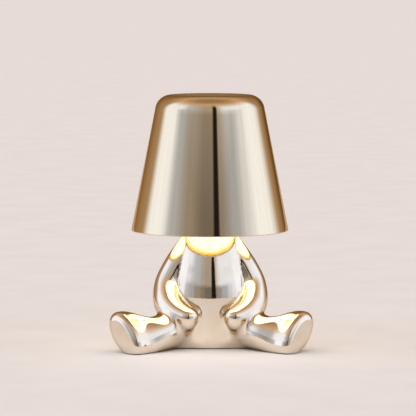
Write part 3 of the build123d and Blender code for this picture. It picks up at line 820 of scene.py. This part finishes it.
class LAMP_OT_finishes(bpy.types.Operator):
    """Makes the finishes and gives every carried-over piece its own"""

    bl_idname = "lamp.finishes"
    bl_label = "Finishes"

    def execute(self, context):
        colours = context.scene.lamp_colours
        # ABS, moulded and mirror plated: clean reflections that waver a little over a centimetre
        new_finish(
            "plated_abs_figure", colours.figure, colours.figure_deep, grain=14, rough=(0.015, 0.05),
            relief=0.01, Metallic=1.0, Specular_Tint=(*linear(PLATING_EDGE), 1),
        )
        # ABS, moulded and mirror plated: fine upright streaks left by wiping, at 2 mm so that they show
        new_finish(
            "plated_abs_shade", colours.shade, colours.shade_deep, grain=12, rough=(0.03, 0.065),
            streaks=SHADE_STREAKS, Metallic=1.0, Specular_Tint=(*linear(PLATING_EDGE), 1),
        )
        # ABS, moulded and satin plated: a soft, blurred sheen that hides fingerprints
        new_finish(
            "satin_plated_button", colours.shade, colours.shade_deep, grain=0.6, rough=(0.22, 0.32),
            relief=0.004, Metallic=1.0,
        )
        # Polystyrene, vacuum formed and sprayed satin white: even and soft, with a painted amber glow along
        # the rim
        tree, shader, tint = new_finish(
            "sprayed_polystyrene", colours.lining, linear("EFE9DC"), grain=9, rough=(0.5, 0.62),
        )
        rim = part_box("shade_liner")[0].z
        place = put(tree, "ShaderNodeTexCoord").outputs["Object"]
        level = put(tree, "ShaderNodeSeparateXYZ", {"Vector": place}).outputs["Z"]
        # The lining turns to a painted amber glow in the last few millimetres above its rim
        limits = {"Value": level, "From Min": rim, "From Max": rim + PAINTED_AMBER_RISE * MM}
        up = put(tree, "ShaderNodeMapRange", limits).outputs["Result"]
        shades = {"Factor": up, 6: (*colours.lining_rim_painted_glow, 1), 7: tint}
        amber = put(tree, "ShaderNodeMix", shades, data_type="RGBA").outputs[2]
        tree.links.new(amber, shader.inputs["Base Color"])
        # The lining's colour also feeds its emission: a painted glow, as the lining is no lamp and only
        # catches the diffuser's light
        tree.links.new(amber, shader.inputs["Emission Color"])
        shader.inputs["Emission Strength"].default_value = LINING_PAINTED_GLOW
        # Acrylic, moulded opal and lit from within: an even warm white, a little weaker towards the top
        tree, shader, _ = new_finish(
            "lit_opal_acrylic", linear("FBF6EC"), linear("F6EEDF"), grain=8, rough=(0.25, 0.35),
        )
        low, high = (corner.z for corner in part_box("diffuser"))
        place = put(tree, "ShaderNodeTexCoord").outputs["Object"]
        level = put(tree, "ShaderNodeSeparateXYZ", {"Vector": place}).outputs["Z"]
        foot, top = DIFFUSER_GLOW
        limits = {"Value": level, "From Min": low, "From Max": high, "To Min": foot, "To Max": top}
        fade = put(tree, "ShaderNodeMapRange", limits).outputs["Result"]
        shader.inputs["Emission Color"].default_value = (*colours.glow, 1)
        tree.links.new(fade, shader.inputs["Emission Strength"])
        # Nylon, moulded and uncoloured: milky, with faint flow clouds
        new_finish(
            "moulded_nylon", linear("EDE8DB"), linear("E2DBC9"), grain=3, rough=(0.38, 0.5),
            relief=0.01,
        )
        # Neodymium, sintered and nickel plated: a greyish mirror dulled by handling
        new_finish(
            "nickel_plated_magnet", linear("CFCBC2"), linear("BDB8AE"), grain=2, rough=(0.16, 0.3),
            Metallic=1.0,
        )
        # Steel, turned: rings of tool marks, drawn at 0.5 mm so that they show
        new_finish(
            "turned_steel", linear("D2CFC8"), linear("BEBAB1"), grain=0.5, stretch=(0.02, 0.02, 1),
            rough=(0.16, 0.32), relief=0.004, Metallic=1.0,
        )
        # Steel, pressed and zinc plated: pale grey with a yellowish bloom
        new_finish(
            "zinc_plated_steel", linear("CDCBC4"), linear("C4BC9F"), grain=1.5, rough=(0.28, 0.45),
            relief=0.005, Metallic=1.0,
        )
        # Aluminium, turned and left bare: bright, with fine rings and a dry grain
        new_finish(
            "turned_aluminium", linear("D9D8D5"), linear("C9C8C4"), grain=0.5,
            stretch=(0.02, 0.02, 1), rough=(0.3, 0.45), relief=0.004, Metallic=1.0,
        )
        # Aluminium board under white solder mask: smooth, glossy paint with tiny specks
        new_finish(
            "white_solder_mask", linear("F4F3EE"), linear("E9E7DF"), grain=0.8, rough=(0.28, 0.4),
        )
        # Silicone with phosphor, dispensed on the chips: a matt yellow that glows when lit
        new_finish(
            "dispensed_phosphor", linear("F2D45C"), linear("E9C23C"), grain=0.5, rough=(0.4, 0.55),
            Emission_Color=(*linear("FFE3A8"), 1), Emission_Strength=CHIP_GLOW,
        )
        # ABS, moulded in a spark-eroded tool: a dry, sandy skin, its 0.4 mm grain large enough to show
        new_finish(
            "spark_grained_abs", colours.panel, linear("37332F"), grain=0.4, rough=(0.5, 0.68),
            relief=0.04,
        )
        # Silicone rubber, pressed: dull black with a dusty bloom
        new_finish(
            "pressed_rubber", linear("232120"), linear("2F2C2A"), grain=0.9, rough=(0.75, 0.9),
            relief=0.03,
        )
        # PVC sleeve, shrunk on the cell: glossy, with lengthwise wrinkles
        new_finish(
            "shrunk_pvc_sleeve", linear("3A6EA5"), linear("315F90"), grain=1.6, stretch=(1, 1, 0.1),
            rough=(0.22, 0.36), relief=0.02,
        )
        # Glass epoxy board under green solder mask: glossy, with the weave showing through at 0.7 mm
        new_finish(
            "green_solder_mask", linear("1E6B3C"), linear("2B7D4A"), grain=0.7, rough=(0.25, 0.4),
            relief=0.006,
        )
        # Epoxy, moulded: black and finely matt
        new_finish(
            "moulded_epoxy", linear("1B1B1B"), linear("262524"), grain=0.4, rough=(0.45, 0.6),
            relief=0.01,
        )
        # PVC, extruded over wire: smooth and slightly waxy, one wire of each pair red, the other black
        tree, shader, tint = new_finish(
            "extruded_pvc_wire", linear("1D1B1B"), linear("282525"), grain=1.2, rough=(0.34, 0.46),
        )
        place = put(tree, "ShaderNodeTexCoord").outputs["Object"]
        side = put(tree, "ShaderNodeSeparateXYZ", {"Vector": place}).outputs["X"]
        limits = {"Value": side, "From Min": -WIRE_REACH * MM, "From Max": WIRE_REACH * MM}
        span = put(tree, "ShaderNodeMapRange", limits).outputs["Result"]
        pick = put(tree, "ShaderNodeValToRGB", {"Fac": span})
        pick.color_ramp.interpolation = "CONSTANT"
        for k, (spot, red) in enumerate(WIRE_STARTS):
            stop = pick.color_ramp.elements[k] if k < 2 else pick.color_ramp.elements.new(spot)
            stop.position = spot
            stop.color = (red, red, red, 1)
        shades = {"Factor": pick.outputs["Color"], 6: tint, 7: (*linear("A61F1C"), 1)}
        paint = put(tree, "ShaderNodeMix", shades, data_type="RGBA").outputs[2]
        tree.links.new(paint, shader.inputs["Base Color"])
        # Stainless steel, drawn: thin lines along the draw, at 0.4 mm so that they show
        new_finish(
            "drawn_stainless", linear("C9C8C5"), linear("B5B3AF"), grain=0.4, stretch=(1, 0.04, 1),
            rough=(0.2, 0.34), Metallic=1.0,
        )
        # Polycarbonate, moulded clear: water white, with a bright edge
        new_finish(
            "clear_polycarbonate", linear("F0F4F2"), linear("E4ECE9"), grain=2.0,
            rough=(0.06, 0.14), IOR=1.585, Transmission_Weight=0.9,
        )
        for finish, names in NODE_FINISHES.items():
            for name in names:
                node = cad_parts[name]
                node.data.materials.clear()
                node.data.materials.append(bpy.data.materials[finish])
        return {"FINISHED"}


class LAMP_OT_stage(bpy.types.Operator):
    """Lays the floor, lights the studio and sets the camera"""

    bl_idname = "lamp.stage"
    bl_label = "Stage"

    def execute(self, context):
        scene = context.scene
        scene.view_settings.view_transform = "Standard"
        deselect_all()
        bpy.ops.mesh.primitive_plane_add(size=FLOOR_SIZE, location=(0, 0, 0))
        floor = context.object
        floor.name = "floor"
        # Board, painted matt: pale and even, with faint roller clouds
        new_finish(
            "matt_painted_board", scene.lamp_colours.floor, linear("EEEBE7"), grain=60,
            rough=(0.95, 1.0), Specular_IOR_Level=0.0,
        )
        floor.data.materials.append(bpy.data.materials["matt_painted_board"])
        world = bpy.data.worlds.new("soft_studio")
        scene.world = world
        world.use_nodes = True
        tree = world.node_tree
        place = put(tree, "ShaderNodeTexCoord").outputs["Generated"]
        split = put(tree, "ShaderNodeSeparateXYZ", {"Vector": place})
        east, rise = split.outputs["X"], split.outputs["Z"]
        ahead = put(tree, "ShaderNodeMath", {0: split.outputs["Y"], 1: -1.0}, operation="MULTIPLY")
        angle = put(tree, "ShaderNodeMath", {0: east, 1: ahead.outputs[0]}, operation="ARCTAN2")
        limits = {"Value": angle.outputs[0], "From Min": -math.pi, "From Max": math.pi}
        around = put(tree, "ShaderNodeMapRange", limits).outputs["Result"]
        bands = []
        for stops in (SCREEN_LIGHT, HIGH_SCREEN_LIGHT):
            ramp = put(tree, "ShaderNodeValToRGB", {"Fac": around})
            ramp.color_ramp.interpolation = "EASE"
            for k, (degrees, bright, tint) in enumerate(stops):
                spot = degrees / 360 + 0.5
                stop = ramp.color_ramp.elements[k] if k < 2 else ramp.color_ramp.elements.new(spot)
                stop.position = spot
                stop.color = (*(bright * part for part in linear(tint)), 1)
            bands.append(ramp.outputs["Color"])
        low, high = HIGH_SCREEN_SLOPES
        limits = {"Value": rise, "From Min": low, "From Max": high}
        higher = put(tree, "ShaderNodeMapRange", limits).outputs["Result"]
        shades = {"Factor": higher, 6: bands[0], 7: bands[1]}
        screens = put(tree, "ShaderNodeMix", shades, data_type="RGBA").outputs[2]
        low, edge, high = OVERHEAD_SLOPES
        limits = {"Value": rise, "From Min": low, "From Max": edge}
        above = put(tree, "ShaderNodeMapRange", limits).outputs["Result"]
        limits = {"Value": rise, "From Min": edge, "From Max": high}
        middle = put(tree, "ShaderNodeMapRange", limits).outputs["Result"]
        shades = {
            "Factor": middle,
            6: (*(OVERHEAD_EDGE * part for part in linear(AMBER_LIGHT)), 1),
            7: (*(OVERHEAD_MIDDLE * part for part in linear(AMBER_LIGHT)), 1),
        }
        overhead = put(tree, "ShaderNodeMix", shades, data_type="RGBA").outputs[2]
        shades = {"Factor": above, 6: screens, 7: overhead}
        studio = put(tree, "ShaderNodeMix", shades, data_type="RGBA").outputs[2]
        tree.links.new(studio, tree.nodes["Background"].inputs["Color"])
        lean = (math.radians(SUN_LEAN[0]), math.radians(SUN_LEAN[1]), 0)
        bpy.ops.object.light_add(type="SUN", location=(0, 0, SUN_HEIGHT), rotation=lean)
        top = context.object
        top.name = "soft_top_light"
        top.data.angle = math.radians(SUN_SPREAD)
        top.data.energy = SUN_STRENGTH
        top.data.color = linear(DAYLIGHT)
        top.visible_glossy = False
        camera = bpy.data.cameras.new("camera")
        camera.lens = LENS
        camera.sensor_width = SENSOR
        eye = bpy.data.objects.new("camera", camera)
        scene.collection.objects.link(eye)
        turn = math.radians(EYE_ROUND)
        eye.location = (EYE_DISTANCE * math.sin(turn), -EYE_DISTANCE * math.cos(turn), EYE_HEIGHT)
        eye.rotation_euler = (math.radians(90 - EYE_DOWN), 0, turn + math.radians(EYE_ASIDE))
        scene.camera = eye
        return {"FINISHED"}


STEPS = (
    LAMP_OT_finishes,
    LAMP_OT_figure,
    LAMP_OT_shade,
    LAMP_OT_light,
    LAMP_OT_button,
    LAMP_OT_stage,
)


class LAMP_PT_sidebar(bpy.types.Panel):
    """Lists the lamp's sizes, colours and steps"""

    bl_idname = "LAMP_PT_sidebar"
    bl_label = "Table lamp"
    bl_space_type = "VIEW_3D"
    bl_region_type = "UI"
    bl_category = "Lamp"

    def draw(self, context):
        for group in (context.scene.lamp_sizes, context.scene.lamp_colours):
            for name in group.__annotations__:
                self.layout.prop(group, name)
        for step in STEPS:
            self.layout.operator(step.bl_idname)


CLASSES = (LampSizes, LampColours, *STEPS, LAMP_PT_sidebar)


def register():
    """Adds the classes and the scene's settings."""
    for item in CLASSES:
        bpy.utils.register_class(item)
    bpy.types.Scene.lamp_sizes = bpy.props.PointerProperty(type=LampSizes)
    bpy.types.Scene.lamp_colours = bpy.props.PointerProperty(type=LampColours)


def unregister():
    """Takes the settings and classes away again."""
    del bpy.types.Scene.lamp_colours
    del bpy.types.Scene.lamp_sizes
    for item in reversed(CLASSES):
        bpy.utils.unregister_class(item)


def main():
    """Builds the lamp step by step."""
    register()
    bpy.ops.lamp.finishes()
    bpy.ops.lamp.figure()
    bpy.ops.lamp.shade()
    bpy.ops.lamp.light()
    bpy.ops.lamp.button()
    bpy.ops.lamp.stage()


if __name__ == "__main__":
    main()
